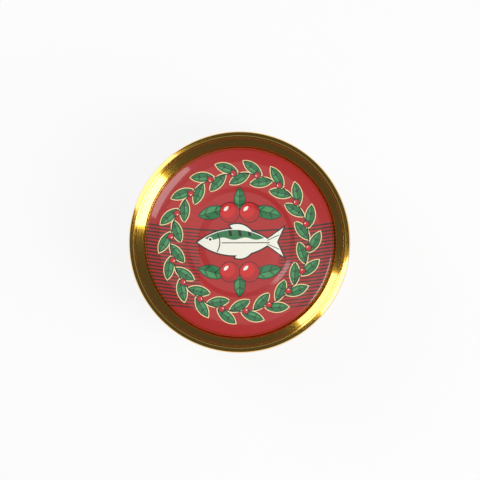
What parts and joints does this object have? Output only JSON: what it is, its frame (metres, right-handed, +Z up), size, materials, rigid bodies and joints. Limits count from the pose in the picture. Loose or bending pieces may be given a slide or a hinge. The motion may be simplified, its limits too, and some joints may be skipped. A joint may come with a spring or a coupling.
{
  "type": "tuna can",
  "caption": "Small round shut food can: a drawn body with a necked foot, and a stepped printed lid held by a gold double seam.",
  "frame": {"origin": "centre of the ring that the can stands on", "axes": "+Z up, along the can's axis, towards the lid; +X to the right and +Y to the top of the lid's print"},
  "size_m": [0.0683, 0.0682, 0.032],
  "materials": {
    "body": "gloss printed tinplate, gold lacquered underside",
    "lid": "gold lacquered tinplate with a gloss red printed panel"
  },
  "bodies": {
    "root": {"body": "body", "lid": "lid"}
  },
  "joints": []
}
